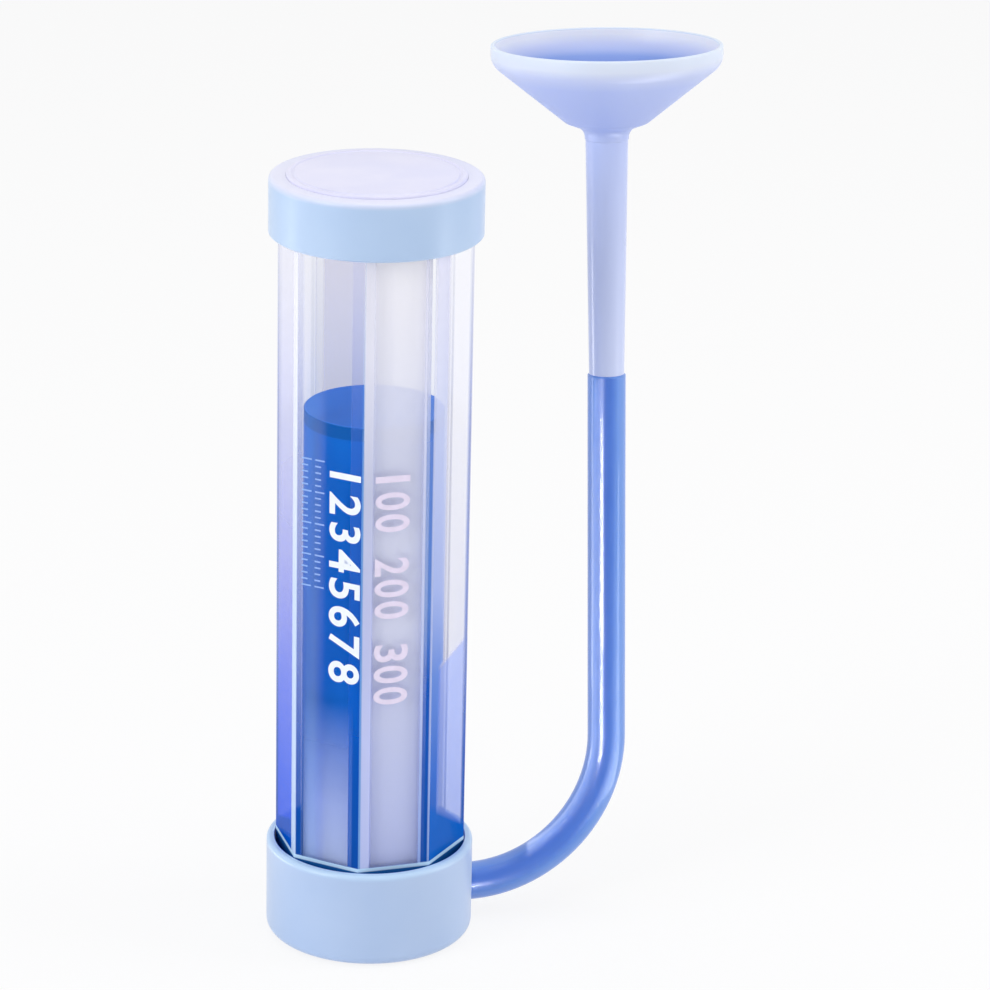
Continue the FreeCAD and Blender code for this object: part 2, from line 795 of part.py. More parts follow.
def breathing_tube():
    """Formed tube: from the nipple out through the port, one bend, then up to the stem."""
    body = new_body("breathing_tube")
    path = new_sketch(body, "Path", "XZ_Plane")
    bend_start = s["hose_reach"] - s["hose_bend"]
    points = [
        FreeCAD.Vector(hose_start.number, 0, 0),
        FreeCAD.Vector(bend_start.number, 0, 0),
        FreeCAD.Vector(s["hose_reach"].number, s["hose_bend"].number, 0),
        FreeCAD.Vector(s["hose_reach"].number, s["hose_rise"].number, 0),
    ]
    centre = FreeCAD.Vector(bend_start.number, s["hose_bend"].number, 0)
    bend = Part.Circle(centre, UP, s["hose_bend"].number)
    path.addGeometry(Part.LineSegment(points[0], points[1]), False)
    path.addGeometry(Part.ArcOfCircle(bend, -math.pi / 2, 0), False)
    path.addGeometry(Part.LineSegment(points[2], points[3]), False)
    path.addConstraint(Sketcher.Constraint("Tangent", 0, 2, 1, 1))
    path.addConstraint(Sketcher.Constraint("Tangent", 1, 2, 2, 1))
    path.addConstraint(Sketcher.Constraint("Horizontal", 0))
    path.addConstraint(Sketcher.Constraint("Vertical", 2))
    bind_point(path, 0, 1, hose_start, 0)
    bind(path, "Radius", 1, s["hose_bend"])
    bind_point(path, 2, 2, s["hose_reach"], s["hose_rise"])
    for kind, name, radius in (
        ("PartDesign::AdditivePipe", "Wall", hose_radius),
        ("PartDesign::SubtractivePipe", "Bore", hose_bore_radius),
    ):
        section = new_sketch(body, f"{name}_Section", "YZ_Plane", hose_start)
        circle(section, radius)
        pipe = body.newObject(kind, f"{body.Label}_{name}")
        pipe.Profile = section
        pipe.Spine = (path, ["Edge1", "Edge2", "Edge3"])
        doc.recompute()
    rim = [
        f"Edge{index}"
        for index, edge in enumerate(pipe.Shape.Edges, start=1)
        if isinstance(edge.Curve, Part.Circle)
        and abs(edge.Curve.Radius - hose_radius.number) < NEAR
        and abs(edge.CenterOfMass.z - s["hose_rise"].number) < NEAR
    ]
    chamfer = body.newObject("PartDesign::Chamfer", f"{body.Label}_End_Chamfer")
    chamfer.Base = (pipe, rim)
    chamfer.Size = s["hose_end_chamfer"].number
    chamfer.setExpression("Size", formula(s["hose_end_chamfer"]))
    place(body, 0, s["port_height"], s["lean_angle"])
    return body


def mouth_stem():
    """Tapered pipe: spigot in the breathing tube below, plug in the cup's collar above."""
    body = new_body("mouth_stem")
    plug = s["stem_plug_diameter"] / 2
    groove_floor = seal_bore - s["bond_gap"]
    turned(
        body,
        [
            (s["stem_bore_foot"] / 2, spigot_foot),
            (spigot_radius - s["spigot_chamfer"], spigot_foot),
            (spigot_radius, spigot_foot + s["spigot_chamfer"] * 2),
            (spigot_radius, seal_level - groove_half),
            (groove_floor, seal_level - groove_half),
            (groove_floor, seal_level + groove_half),
            (spigot_radius, seal_level + groove_half),
            (spigot_radius, s["hose_rise"]),
            (s["stem_foot_diameter"] / 2, s["hose_rise"]),
            (s["stem_top_diameter"] / 2, collar_foot),
            (plug, collar_foot),
            (plug, bowl_floor),
            (s["stem_bore_top"] / 2, bowl_floor),
        ],
    )
    place(body, s["hose_reach"], s["port_height"], s["lean_angle"])
    return body


def stem_seal():
    """Soft ring on the stem's spigot, in the breathing tube's bore."""
    ring = soft_ring("stem_seal")
    reach, lean = s["hose_reach"], s["lean_angle"]
    level = seal_level - s["seal_section"] / 2
    turn = FreeCAD.Rotation(FreeCAD.Vector(1, 0, 0), -lean.number)
    foot = turn.multVec(FreeCAD.Vector(0, 0, level.number))
    ring.Placement = FreeCAD.Placement(FreeCAD.Vector(reach.number, 0, 0) + foot, turn)
    ring.setExpression("Placement.Base.x", formula(reach))
    ring.setExpression("Placement.Base.y", f"{formula(level)} * sin({formula(lean)} * 1 deg)")
    rise = f"{formula(level)} * cos({formula(lean)} * 1 deg)"
    ring.setExpression("Placement.Base.z", f"{formula(s['port_height'])} + {rise}")
    ring.setExpression("Placement.Rotation.Angle", formula(-lean))
    return ring


def hip(across, up, radius):
    """Points along a rounded corner about (across, up), from level to square with the cup's cone."""
    angles = [math.radians(CONE_ANGLE * step / HIP_STEPS) for step in range(HIP_STEPS + 1)]
    return [(across + radius * math.cos(angle), up - radius * math.sin(angle)) for angle in angles]


def mouth_cup():
    """Soft cup: blunt lip, rounded hip, cone, shoulder and a collar round the stem's plug."""
    body = new_body("mouth_cup")
    rim = s["cup_rise"]
    outer = s["cup_diameter"] / 2
    inner = outer - s["cup_wall"]
    lip = s["cup_lip_chamfer"]
    socket = s["stem_plug_diameter"] / 2 + s["bond_gap"]
    hip_centre = (outer - s["cup_hip_radius"], rim - s["cup_band"])
    turned(
        body,
        [
            (outer - lip, rim),
            (outer, rim - lip),
            *hip(*hip_centre, s["cup_hip_radius"]),
            (s["cup_shoulder_diameter"] / 2, rim - s["cup_shoulder_depth"]),
            (s["flare_diameter"] / 2, rim - s["flare_depth"]),
            (s["neck_diameter"] / 2, rim - s["neck_depth"]),
            (s["collar_diameter"] / 2, collar_foot),
            (socket, collar_foot),
            (socket, bowl_floor),
            (s["bowl_floor_diameter"] / 2, bowl_floor),
            *reversed(hip(*hip_centre, s["cup_hip_radius"] - s["cup_wall"])),
            (inner, rim - lip),
            (inner + lip, rim),
        ],
    )
    place(body, s["hose_reach"], s["port_height"], s["lean_angle"])
    return body


def check(pieces):
    """Stops the build if a feature failed or a piece isn't one valid closed solid."""
    doc.recompute()
    for item in doc.Objects:
        if "Invalid" in item.State or "Error" in item.State:
            raise RuntimeError(f"{item.Label} failed: {item.State}")
    for piece in pieces:
        shape = piece.Shape
        if shape.isNull() or not shape.isValid() or len(shape.Solids) != 1:
            raise RuntimeError(f"{piece.Label} isn't one valid solid")
        if shape.Volume <= 0:
            raise RuntimeError(f"{piece.Label} has no volume")


def write(pieces):
    os.makedirs("parts", exist_ok=True)
    for piece in pieces:
        piece.Shape.exportStep(os.path.join("parts", f"{piece.Label}.step"))
        box = piece.Shape.BoundBox
        extent = f"{box.XLength:.1f} x {box.YLength:.1f} x {box.ZLength:.1f} mm"
        print(f"{piece.Label}: {extent}, {piece.Shape.Volume:.0f} mm3")


pieces = [
    foot_pad(),
    base_shell(),
    air_manifold(),
    port_grommet(),
    swivel_seal(),
    tube_gasket(),
    clear_tube(),
    scale_film(),
    side_film(),
    riser_pipe(),
    riser_head(),
    landing_ring(),
    float_tube(),
    float_lid(),
    float_guide(),
    cap_shell(),
    cap_inlay(),
    cap_bumper(),
    cap_grip_ring(),
    breathing_tube(),
    mouth_stem(),
    stem_seal(),
    mouth_cup(),
]
check(pieces)
write(pieces)
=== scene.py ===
# Breathing trainer: the looks of every piece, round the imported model.
# Metres, +Z up, the side port along +X.
import math

import bmesh
import bpy
from mathutils import Matrix, Vector


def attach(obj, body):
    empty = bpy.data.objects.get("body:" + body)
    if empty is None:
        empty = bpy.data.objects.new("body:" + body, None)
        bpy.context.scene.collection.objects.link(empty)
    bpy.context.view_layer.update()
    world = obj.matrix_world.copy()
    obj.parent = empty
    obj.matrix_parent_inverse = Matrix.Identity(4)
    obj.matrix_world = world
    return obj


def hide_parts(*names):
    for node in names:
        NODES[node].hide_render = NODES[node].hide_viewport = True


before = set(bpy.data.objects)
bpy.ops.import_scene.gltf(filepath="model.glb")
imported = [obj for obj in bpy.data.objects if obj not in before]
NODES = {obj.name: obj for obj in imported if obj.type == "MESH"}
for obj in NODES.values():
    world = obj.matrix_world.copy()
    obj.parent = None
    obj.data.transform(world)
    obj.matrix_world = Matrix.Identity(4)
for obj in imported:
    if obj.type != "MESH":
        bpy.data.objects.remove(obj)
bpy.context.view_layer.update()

MM = 0.001

# The camera, solved from the outlines in the photograph
CAMERA_AZIMUTH = math.radians(-17.5)
CAMERA_ELEVATION = math.radians(19.57)
CAMERA_ROLL = math.radians(1.242)
CAMERA_DISTANCE = 1.270608
CAMERA_LENS = 152.97
CAMERA_SIDE = 0.03672
CAMERA_HEIGHT = 0.143385

# Sizes that the new pieces share with the model, in millimetres
PORT_HEIGHT = 11.0
HOSE_REACH = 78.2
HOSE_BEND = 44.0
HOSE_MID_WALL = 5.0
LEAN = math.radians(5.1)
FLATS = 8
TUBE_FLAT = 27.2
TUBE_WALL = 2.0
CUP_RIM = 262.5
CUP_RADIUS = 35.2
BASE_BORE = 29.75
BASE_TOP = 30.7
CAP_TOP = 242.4
DISC_TOP = 243.2
DISC_RADIUS = 26.8
SEAT_HEIGHT = 20.4
GASKET_BORE = 25.05
SEAL_THICKNESS = 1.2
LID_FOOT = 166.6
LID_EDGE = 170.6

# The tube's flats that differ, counted round from +X by eighths of a turn
SIDE_FLAT = -3
FRONT_FLAT = -2
RIGHT_FLAT = -1
LEFT_FLAT = 4
BACK_FLATS = (0, 1)
VEILED_FLAT = 2
EIGHTH = 2 * math.pi / FLATS

# Light: shares of full strength, and places and lengths in metres
WHITE = 1.0
TENT_ON_OBJECT = 0.48
FLOOR_GLOW = 0.86
FLOOR_HALF = 6.0
MIDDLE = (0.03, 0, 0.14)
CARD_HEIGHT = 0.002

# Faces that meet at less than this angle look smooth
SMOOTH_UP_TO = math.radians(35)

# The ink: how far it stands off the tube's outside, in millimetres, and how bold its digits are
INK_GAP = 0.02
INK_BOLDNESS = 0.018


def tone(red, green, blue):
    """A colour of 0 to 255 as it looks on screen, as linear values."""
    values = []
    for part in (red, green, blue):
        share = part / 255
        values.append(share / 12.92 if share <= 0.04045 else ((share + 0.055) / 1.055) ** 2.4)
    return (*values, 1.0)


def grey(value):
    """A number as a colour, for ramps."""
    return (value, value, value, 1.0)


def darker(colour, share):
    """The same colour with only a share of its light."""
    return (*(part * share for part in colour[:3]), 1.0)


def make_camera():
    """A camera that stands as the photograph's did."""
    azimuth, elevation = CAMERA_AZIMUTH, CAMERA_ELEVATION
    right = Vector((math.cos(azimuth), math.sin(azimuth), 0))
    back = Vector((
        math.sin(azimuth) * math.cos(elevation),
        -math.cos(azimuth) * math.cos(elevation),
        math.sin(elevation),
    ))
    up = back.cross(right)
    target = right * CAMERA_SIDE + Vector((0, 0, CAMERA_HEIGHT))
    rolled_right = right * math.cos(CAMERA_ROLL) + up * math.sin(CAMERA_ROLL)
    rolled_up = up * math.cos(CAMERA_ROLL) - right * math.sin(CAMERA_ROLL)
    camera = bpy.data.objects.new("camera", bpy.data.cameras.new("camera"))
    bpy.context.scene.collection.objects.link(camera)
    matrix = Matrix((rolled_right, rolled_up, back)).transposed().to_4x4()
    matrix.translation = target + back * CAMERA_DISTANCE
    camera.matrix_world = matrix
    camera.data.lens = CAMERA_LENS
    camera.data.sensor_width = 36
    camera.data.clip_start = 0.01
    camera.data.clip_end = 50
    bpy.context.scene.camera = camera


class Shade:
    """A material with one Principled shader, and short ways to add the nodes that drive it."""

    def __init__(self, name, leaning=False, **settings):
        self.material = bpy.data.materials.new(name)
        self.material.use_nodes = True
        self.tree = self.material.node_tree
        self.shader = self.tree.nodes["Principled BSDF"]
        self.output = self.tree.nodes["Material Output"]
        self.place = self.add("ShaderNodeTexCoord").outputs["Object"]
        if leaning:
            self.place = self.stand_up()
        self.bumps = None
        for socket, value in settings.items():
            self.shader.inputs[socket.replace("_", " ")].default_value = value

    def stand_up(self):
        """The place of a leaning piece, measured from the port's axis with the lean taken out."""
        mapping = self.add("ShaderNodeMapping")
        self.link(self.place, mapping.inputs["Vector"])
        turn = Matrix.Rotation(LEAN, 3, "X")
        mapping.inputs["Location"].default_value = -(turn @ Vector((0, 0, PORT_HEIGHT * MM)))
        mapping.inputs["Rotation"].default_value = (LEAN, 0, 0)
        return mapping.outputs[0]

    def add(self, kind, **settings):
        """A new node with its settings."""
        node = self.tree.nodes.new(kind)
        for name, value in settings.items():
            setattr(node, name, value)
        return node

    def link(self, source, target):
        """Links a node's output to a socket, or sets the socket where the source is a plain value."""
        if isinstance(source, (int, float, tuple)):
            target.default_value = source
        else:
            self.tree.links.new(source, target)

    def set(self, socket, source):
        """Sets or links a socket of the Principled shader."""
        self.link(source, self.shader.inputs[socket])

    def math(self, operation, *values):
        """One sum of numbers, each a plain value or a node's output."""
        node = self.add("ShaderNodeMath", operation=operation)
        for socket, value in zip(node.inputs, values):
            self.link(value, socket)
        return node.outputs[0]

    def length(self, first, second):
        """The length of two numbers that stand at right angles."""
        squares = [self.math("POWER", value, 2.0) for value in (first, second)]
        return self.math("SQRT", self.math("ADD", *squares))

    def both(self, *masks):
        """1 where every mask is 1."""
        result = masks[0]
        for mask in masks[1:]:
            result = self.math("MULTIPLY", result, mask)
        return result

    def axes(self):
        """The place on the piece as three numbers, in metres."""
        split = self.add("ShaderNodeSeparateXYZ")
        self.link(self.place, split.inputs[0])
        return split.outputs[0], split.outputs[1], split.outputs[2]

    def noise(self, scale, detail=2.0, stretch=(1, 1, 1)):
        """Noise with grains about 1/scale metres across, stretched along the axes."""
        mapping = self.add("ShaderNodeMapping")
        self.link(self.place, mapping.inputs["Vector"])
        mapping.inputs["Scale"].default_value = stretch
        noise = self.add("ShaderNodeTexNoise")
        noise.inputs["Scale"].default_value = scale
        noise.inputs["Detail"].default_value = detail
        self.link(mapping.outputs[0], noise.inputs["Vector"])
        return noise.outputs["Fac"]

    def spread(self, source, low, high, start=0.0, end=1.0):
        """Maps start..end of the source to low..high, and holds it there beyond."""
        node = self.add("ShaderNodeMapRange")
        self.link(source, node.inputs["Value"])
        for name, value in (("From Min", start), ("From Max", end), ("To Min", low), ("To Max", high)):
            node.inputs[name].default_value = value
        return node.outputs[0]

    def step(self, source, at, width=0.2):
        """0 below a place in millimetres and 1 above it, with a soft edge."""
        return self.spread(source, 0.0, 1.0, (at - width / 2) * MM, (at + width / 2) * MM)

    def below(self, source, at, width=0.3):
        """1 below a place in millimetres and 0 above it, with a soft edge."""
        return self.math("SUBTRACT", 1.0, self.step(source, at, width))

    def within(self, source, low, high, width=0.3):
        """1 between two places in millimetres, with soft edges."""
        return self.both(self.step(source, low, width), self.below(source, high, width))

    def slope(self, source, across, share):
        """The source plus a share of a second number, for masks with a slanting edge."""
        return self.math("ADD", source, self.math("MULTIPLY", across, share))

    def mix(self, share, first, second):
        """Mixes two colours, each a tuple or a node's output."""
        node = self.add("ShaderNodeMix", data_type="RGBA")
        colours = [socket for socket in node.inputs if socket.type == "RGBA"]
        self.link(share, node.inputs[0])
        self.link(first, colours[0])
        self.link(second, colours[1])
        return next(socket for socket in node.outputs if socket.type == "RGBA")

    def fade(self, source, stops):
        """Colours along a length: stops of (millimetres, colour)."""
        low, high = stops[0][0], stops[-1][0]
        node = self.add("ShaderNodeValToRGB")
        elements = node.color_ramp.elements
        while len(elements) < len(stops):
            elements.new(0.5)
        for element, (place, colour) in zip(elements, stops):
            element.position = (place - low) / (high - low)
            element.color = colour
        self.link(self.spread(source, 0.0, 1.0, low * MM, high * MM), node.inputs["Fac"])
        return node.outputs["Color"]

    def levels(self, source, stops):
        """Numbers from 0 to 1 along a length: stops of (millimetres, number)."""
        return self.fade(source, [(place, grey(value)) for place, value in stops])

    def bump(self, height, strength, distance):
        """Adds relief, distance metres deep, to what is there already."""
        node = self.add("ShaderNodeBump")
        node.inputs["Strength"].default_value = strength
        node.inputs["Distance"].default_value = distance
        self.link(height, node.inputs["Height"])
        if self.bumps is not None:
            self.link(self.bumps, node.inputs["Normal"])
        self.bumps = node.outputs["Normal"]
        self.set("Normal", self.bumps)

    def cloud(self, first, second, scale=26):
        """A colour that drifts between two others."""
        return self.mix(self.spread(self.noise(scale, 3), 0.0, 1.0, 0.35, 0.65), first, second)

    def finish(self, roughness, drift=0.06, grain=2600, relief=0.00002):
        """Fine moulding grain, and a roughness that drifts and has faint rubbed streaks."""
        cloudy = self.spread(self.noise(38, 3), roughness - drift, roughness + drift, 0.3, 0.7)
        streaks = self.spread(self.noise(520, 2, (1, 1, 0.3)), 0.0, drift * 0.4, 0.55, 0.8)
        self.set("Roughness", self.math("ADD", cloudy, streaks))
        self.bump(self.noise(grain, 2), 0.25, relief)
        return self.material

    def front(self):
        """1 on the outside of a surface and 0 on its inside."""
        return self.math("SUBTRACT", 1.0, self.add("ShaderNodeNewGeometry").outputs["Backfacing"])

    def see_through(self, share):
        """Lets what is behind show: share is how much of the surface itself is seen."""
        mix = self.add("ShaderNodeMixShader")
        self.link(share, mix.inputs[0])
        self.link(self.add("ShaderNodeBsdfTransparent").outputs[0], mix.inputs[1])
        self.link(self.shader.outputs[0], mix.inputs[2])
        self.link(mix.outputs[0], self.output.inputs["Surface"])
        return mix.outputs[0]

    def polish(self, surface, where, straight, roughness):
        """Lays a glass-like gloss over the front of a see-through surface, where the mask is 1."""
        gloss = self.add("ShaderNodeBsdfGlossy")
        self.link(roughness, gloss.inputs["Roughness"])
        facing = self.add("ShaderNodeLayerWeight")
        facing.inputs["Blend"].default_value = 0.5
        rim = self.math("POWER", facing.outputs["Facing"], 5.0)
        strength = self.math("ADD", self.math("MULTIPLY", rim, 0.3), straight)
        mix = self.add("ShaderNodeMixShader")
        mask = self.math("MULTIPLY", self.front(), where)
        self.link(self.math("MULTIPLY", strength, mask), mix.inputs[0])
        self.link(surface, mix.inputs[1])
        self.link(gloss.outputs[0], mix.inputs[2])
        self.link(mix.outputs[0], self.output.inputs["Surface"])


def cap_plastic():
    """Pale blue satin plastic, paler on its top and rounded edge, where a highlight is painted."""
    shade = Shade("cap_plastic", IOR=1.49, Sheen_Weight=0.4, Sheen_Roughness=0.35)
    _, _, height = shade.axes()
    side = shade.cloud(tone(174, 200, 234), tone(182, 206, 237))
    top = shade.cloud(tone(222, 224, 246), tone(227, 228, 248))
    # Painted highlight: the top and the rounded top edge are paler.
    edge = shade.levels(height, [(CAP_TOP - 2.0, 0), (CAP_TOP - 0.8, 0.55), (CAP_TOP, 1)])
    shade.set("Base Color", shade.mix(edge, side, top))
    return shade.finish(0.34)


def inlay_plastic():
    """Pale, nearly smooth plastic for the bare disc."""
    shade = Shade("inlay_plastic", IOR=1.49)
    shade.set("Base Color", shade.cloud(tone(222, 222, 246), tone(228, 227, 248), 60))
    return shade.finish(0.34, 0.03, 1400, 0.000008)


def base_plastic():
    """The cap's plastic with a painted highlight on its rim, and painted deep blue shade inside."""
    shade = Shade("base_plastic", IOR=1.49, Sheen_Weight=0.4, Sheen_Roughness=0.35)
    across, along, height = shade.axes()
    side = shade.cloud(tone(174, 197, 232), tone(182, 203, 235))
    # Painted highlight: the rim is paler at the top.
    rim = shade.levels(height, [(BASE_TOP - 2.1, 0), (BASE_TOP - 0.7, 0.7), (BASE_TOP, 1)])
    outside = shade.mix(rim, side, tone(190, 219, 248))
    # Painted shade: inside the bore the wall is deep blue, standing in for the shadow in the gap round
    # the tube's foot.
    past_bore = shade.step(shade.length(across, along), BASE_BORE, 0.1)
    shade.set("Base Color", shade.mix(past_bore, tone(0, 92, 205), outside))
    return shade.finish(0.34)


def rubber(name, colour, roughness=0.6):
    """Matt rubber with a coarser grain than the plastics have."""
    shade = Shade(name, IOR=1.5)
    shade.set("Base Color", shade.cloud(darker(colour, 0.86), colour, 90))
    return shade.finish(roughness, 0.08, 1500, 0.00005)


def float_plastic():
    """Deep blue satin plastic: a lighter top, a darker lid edge, and a wall that drifts a little."""
    shade = Shade("float_plastic", IOR=1.45, Specular_IOR_Level=0.06)
    _, _, height = shade.axes()
    wall = shade.cloud(tone(0, 98, 200), tone(0, 108, 210), 14)
    edge = shade.mix(shade.step(height, LID_FOOT), wall, tone(0, 92, 176))
    shade.set("Base Color", shade.mix(shade.step(height, LID_EDGE), edge, tone(66, 134, 232)))
    return shade.finish(0.4)


def plain_plastic(name, first, second):
    """Satin plastic that drifts between two colours, for the pieces inside."""
    shade = Shade(name, IOR=1.49)
    shade.set("Base Color", shade.cloud(first, second))
    return shade.finish(0.36)


def tube_fades(shade, height):
    """The tube's tints by height: colours, and covers, which are how much of a tint is seen. The dark
    tints beside the corners are painted refraction, and one pale tint is a painted highlight on a
    corner.
    """
    colours = {
        # Bluer and denser towards the foot, fading out upward.
        "height_tint": [
            (20, tone(20, 88, 242)),
            (50, tone(36, 98, 246)),
            (85, tone(80, 114, 247)),
            (120, tone(130, 142, 244)),
            (160, tone(172, 178, 244)),
            (240, tone(226, 224, 246)),
        ],
        # Painted refraction: dark stripes beside every corner.
        "refraction_bar": [
            (20, tone(0, 76, 168)),
            (95, tone(0, 88, 190)),
            (170, tone(60, 100, 190)),
            (240, tone(170, 175, 215)),
        ],
        "veil": [
            (172, tone(140, 156, 224)),
            (200, tone(168, 170, 222)),
            (238, tone(190, 180, 214)),
        ],
        "light": [
            (30, tone(150, 178, 240)),
            (95, tone(196, 208, 248)),
            (240, tone(236, 234, 248)),
        ],
        "strip": [
            (30, tone(190, 200, 244)),
            (71, tone(198, 206, 247)),
            (115, tone(196, 202, 240)),
            (153, tone(200, 205, 231)),
            (194, tone(233, 234, 248)),
            (230, tone(236, 236, 247)),
        ],
        # Painted highlight along a rounded corner, paler upward.
        "corner_highlight": [
            (40, tone(192, 214, 248)),
            (115, tone(206, 224, 252)),
            (195, tone(238, 240, 254)),
            (240, tone(244, 244, 254)),
        ],
        # Painted refraction beside the corner between the front and right flats, dark low down.
        "corner": [
            (30, tone(16, 90, 186)),
            (60, tone(60, 112, 206)),
            (92, tone(110, 146, 222)),
            (120, tone(178, 192, 238)),
            (165, tone(204, 212, 243)),
            (240, tone(232, 230, 246)),
        ],
        # Painted refraction beside the same corner, on the front flat.
        "foot_bar": [
            (30, tone(0, 76, 168)),
            (90, tone(16, 90, 190)),
            (115, tone(112, 150, 214)),
            (240, tone(150, 170, 224)),
        ],
    }
    covers = {
        "height_tint": [(20, 0.8), (50, 0.74), (85, 0.62), (120, 0.48), (160, 0.34), (240, 0.10)],
        "refraction_bar": [(20, 0.85), (60, 0.75), (95, 0.5), (165, 0.4), (240, 0.12)],
        "veil": [(20, 0.3), (150, 0.55), (190, 0.48), (238, 0.4)],
        "foot_bar": [(30, 0.9), (60, 0.85), (90, 0.6), (165, 0.5), (185, 0.1), (240, 0.0)],
        "haze": [(30, 0.24), (165, 0.22), (195, 0.05), (240, 0.0)],
        # Painted refraction: a blue streak along the corner between the side and front flats.
        "corner_line": [(30, 0.8), (150, 0.7), (185, 0.2), (225, 0.0)],
        "back": [(20, 0.5), (90, 0.25), (240, 0.03)],
    }
    return (
        {name: shade.fade(height, stops) for name, stops in colours.items()},
        {name: shade.levels(height, stops) for name, stops in covers.items()},
    )


def tube_layers(shade, flat, beside, height):
    """Tints that lie over the tint that fades upward, as (mask, colour, cover), each over those before
    it.
    """
    tint, cover = tube_fades(shade, height)

    def on(index):
        """1 on one flat. The left one lies where the turn counts as 4 and as -4."""
        number = shade.math("ABSOLUTE", flat) if index == LEFT_FLAT else flat
        return shade.math("COMPARE", number, float(index), 0.4)

    side, front, right, left = on(SIDE_FLAT), on(FRONT_FLAT), on(RIGHT_FLAT), on(LEFT_FLAT)
    edge = shade.math("ABSOLUTE", beside)
    # Where the painted refraction lies, beside every corner.
    refraction_bars = shade.levels(edge, [(8.2, 0), (9.2, 1), (10.6, 1), (11.4, 0)])
    right_lift = shade.both(right, shade.step(shade.slope(height, beside, -0.27), 96.1, 2.0))
    left_shadow = shade.below(shade.slope(height, beside, -0.35), 39.5, 1.2)
    right_shadow = shade.below(shade.slope(height, beside, 0.6), 43.3, 3.0)
    back_tint = tone(180, 194, 250)
    whole_flats = [
        (front, tint["height_tint"], 0.02),
        (side, tint["height_tint"], 0.0),
        (on(VEILED_FLAT), tint["veil"], cover["veil"]),
        (shade.both(side, shade.within(beside, -9.0, -2.5, 4.0)), tone(130, 172, 242), cover["haze"]),
        (right, tone(140, 168, 250), 0.5),
        (right_lift, tone(236, 234, 255), 0.1),
    ]
    whole_flats += [(on(index), back_tint, cover["back"]) for index in BACK_FLATS]
    # Most of these are painted refraction: the dark stripes and the blue streak beside the corners.
    beside_corners = [
        (refraction_bars, tint["refraction_bar"], cover["refraction_bar"]),
        (shade.both(side, shade.step(beside, 7.6)), tint["refraction_bar"], cover["refraction_bar"]),
        (shade.both(front, shade.step(beside, 7.6)), tint["light"], 0.75),
        (shade.both(front, shade.within(beside, 8.5, 10.6)), tint["foot_bar"], cover["foot_bar"]),
        (shade.both(front, shade.below(beside, -7.7)), tint["strip"], 0.9),
        (shade.both(front, shade.below(beside, -10.6)), tone(120, 170, 232), cover["corner_line"]),
        (shade.both(right, shade.below(beside, -7.0, 1.0)), tint["corner"], 0.85),
        (shade.both(right_lift, shade.below(beside, -4.2, 1.0)), tint["corner"], 0.85),
    ]
    shadows = [
        (shade.both(left, left_shadow), tone(0, 84, 196), 0.92),
        (shade.both(right, right_shadow), tone(8, 100, 200), 0.88),
    ]
    # Painted highlights: pale streaks on both sides of the corner between the left and side flats.
    corner_highlights = [
        (shade.both(left, shade.step(beside, 8.0, 0.6)), tint["corner_highlight"], 0.92),
        (shade.both(side, shade.below(beside, -10.7)), tint["corner_highlight"], 0.92),
    ]
    # Painted light and shadow at the foot: a pale streak of light along the tube, and under it a dark
    # streak of shadow in the gap above the base's rim.
    foot_glint_and_gap_shadow = [
        (shade.below(height, 32.0), tone(194, 228, 255), 1.0),
        (shade.below(height, 30.8), tone(24, 96, 168), 0.95),
    ]
    layers = whole_flats + beside_corners + shadows + corner_highlights + foot_glint_and_gap_shadow
    return tint["height_tint"], cover["height_tint"], layers


def clear_acrylic():
    """Clear eight-sided tube: a tint that fades upward, with dark stripes of painted refraction and
    pale streaks of painted highlight beside the corners.
    """
    shade = Shade("clear_acrylic", IOR=1.4, Specular_IOR_Level=0.0, Roughness=0.3)
    across, along, height = shade.axes()
    turns = shade.math("DIVIDE", shade.math("ARCTAN2", along, across), EIGHTH)
    flat = shade.math("ROUND", turns)
    angle = shade.math("MULTIPLY", shade.math("SUBTRACT", turns, flat), EIGHTH)
    beside = shade.math("MULTIPLY", shade.math("TANGENT", angle), TUBE_FLAT * MM)
    reach = shade.math("MULTIPLY", shade.length(across, along), shade.math("COSINE", angle))
    outer = shade.step(reach, TUBE_FLAT - TUBE_WALL / 2)
    colour, cover, layers = tube_layers(shade, flat, beside, height)
    for mask, tint, share in layers:
        colour = shade.mix(mask, colour, tint)
        kept = shade.math("MULTIPLY", cover, shade.math("SUBTRACT", 1.0, mask))
        cover = shade.math("ADD", kept, shade.math("MULTIPLY", mask, share))
    shade.set("Base Color", colour)
    surface = shade.see_through(shade.math("MULTIPLY", cover, outer))
    shade.polish(surface, outer, 0.007, shade.spread(shade.noise(30, 2), 0.03, 0.08, 0.3, 0.7))
    return shade.material


def milky_film():
    """Milky film, whiter above and bluer towards the foot."""
    shade = Shade("milky_film", IOR=1.4, Specular_IOR_Level=0.2)
    _, _, height = shade.axes()
    shade.set("Base Color", shade.fade(height, [
        (26, tone(196, 206, 248)),
        (60, tone(214, 221, 253)),
        (110, tone(234, 237, 254)),
        (165, tone(230, 233, 250)),
        (230, tone(253, 251, 255)),
    ]))
    shade.finish(0.45)
    share = shade.spread(shade.noise(16, 2), 0.84, 0.89, 0.3, 0.7)
    shade.see_through(shade.math("MULTIPLY", share, shade.front()))
    return shade.material


def side_film_tint():
    """The short film: milky blue, fading out towards its top."""
    shade = Shade("side_film_tint", IOR=1.4, Specular_IOR_Level=0.2)
    _, _, height = shade.axes()
    shade.set("Base Color", shade.fade(height, [
        (26, tone(186, 202, 242)),
        (50, tone(166, 184, 241)),
        (86, tone(120, 156, 240)),
    ]))
    shade.finish(0.45)
    share = shade.levels(height, [(26, 0.84), (50, 0.78), (66, 0.5), (84, 0.0)])
    shade.see_through(shade.math("MULTIPLY", share, shade.front()))
    return shade.material


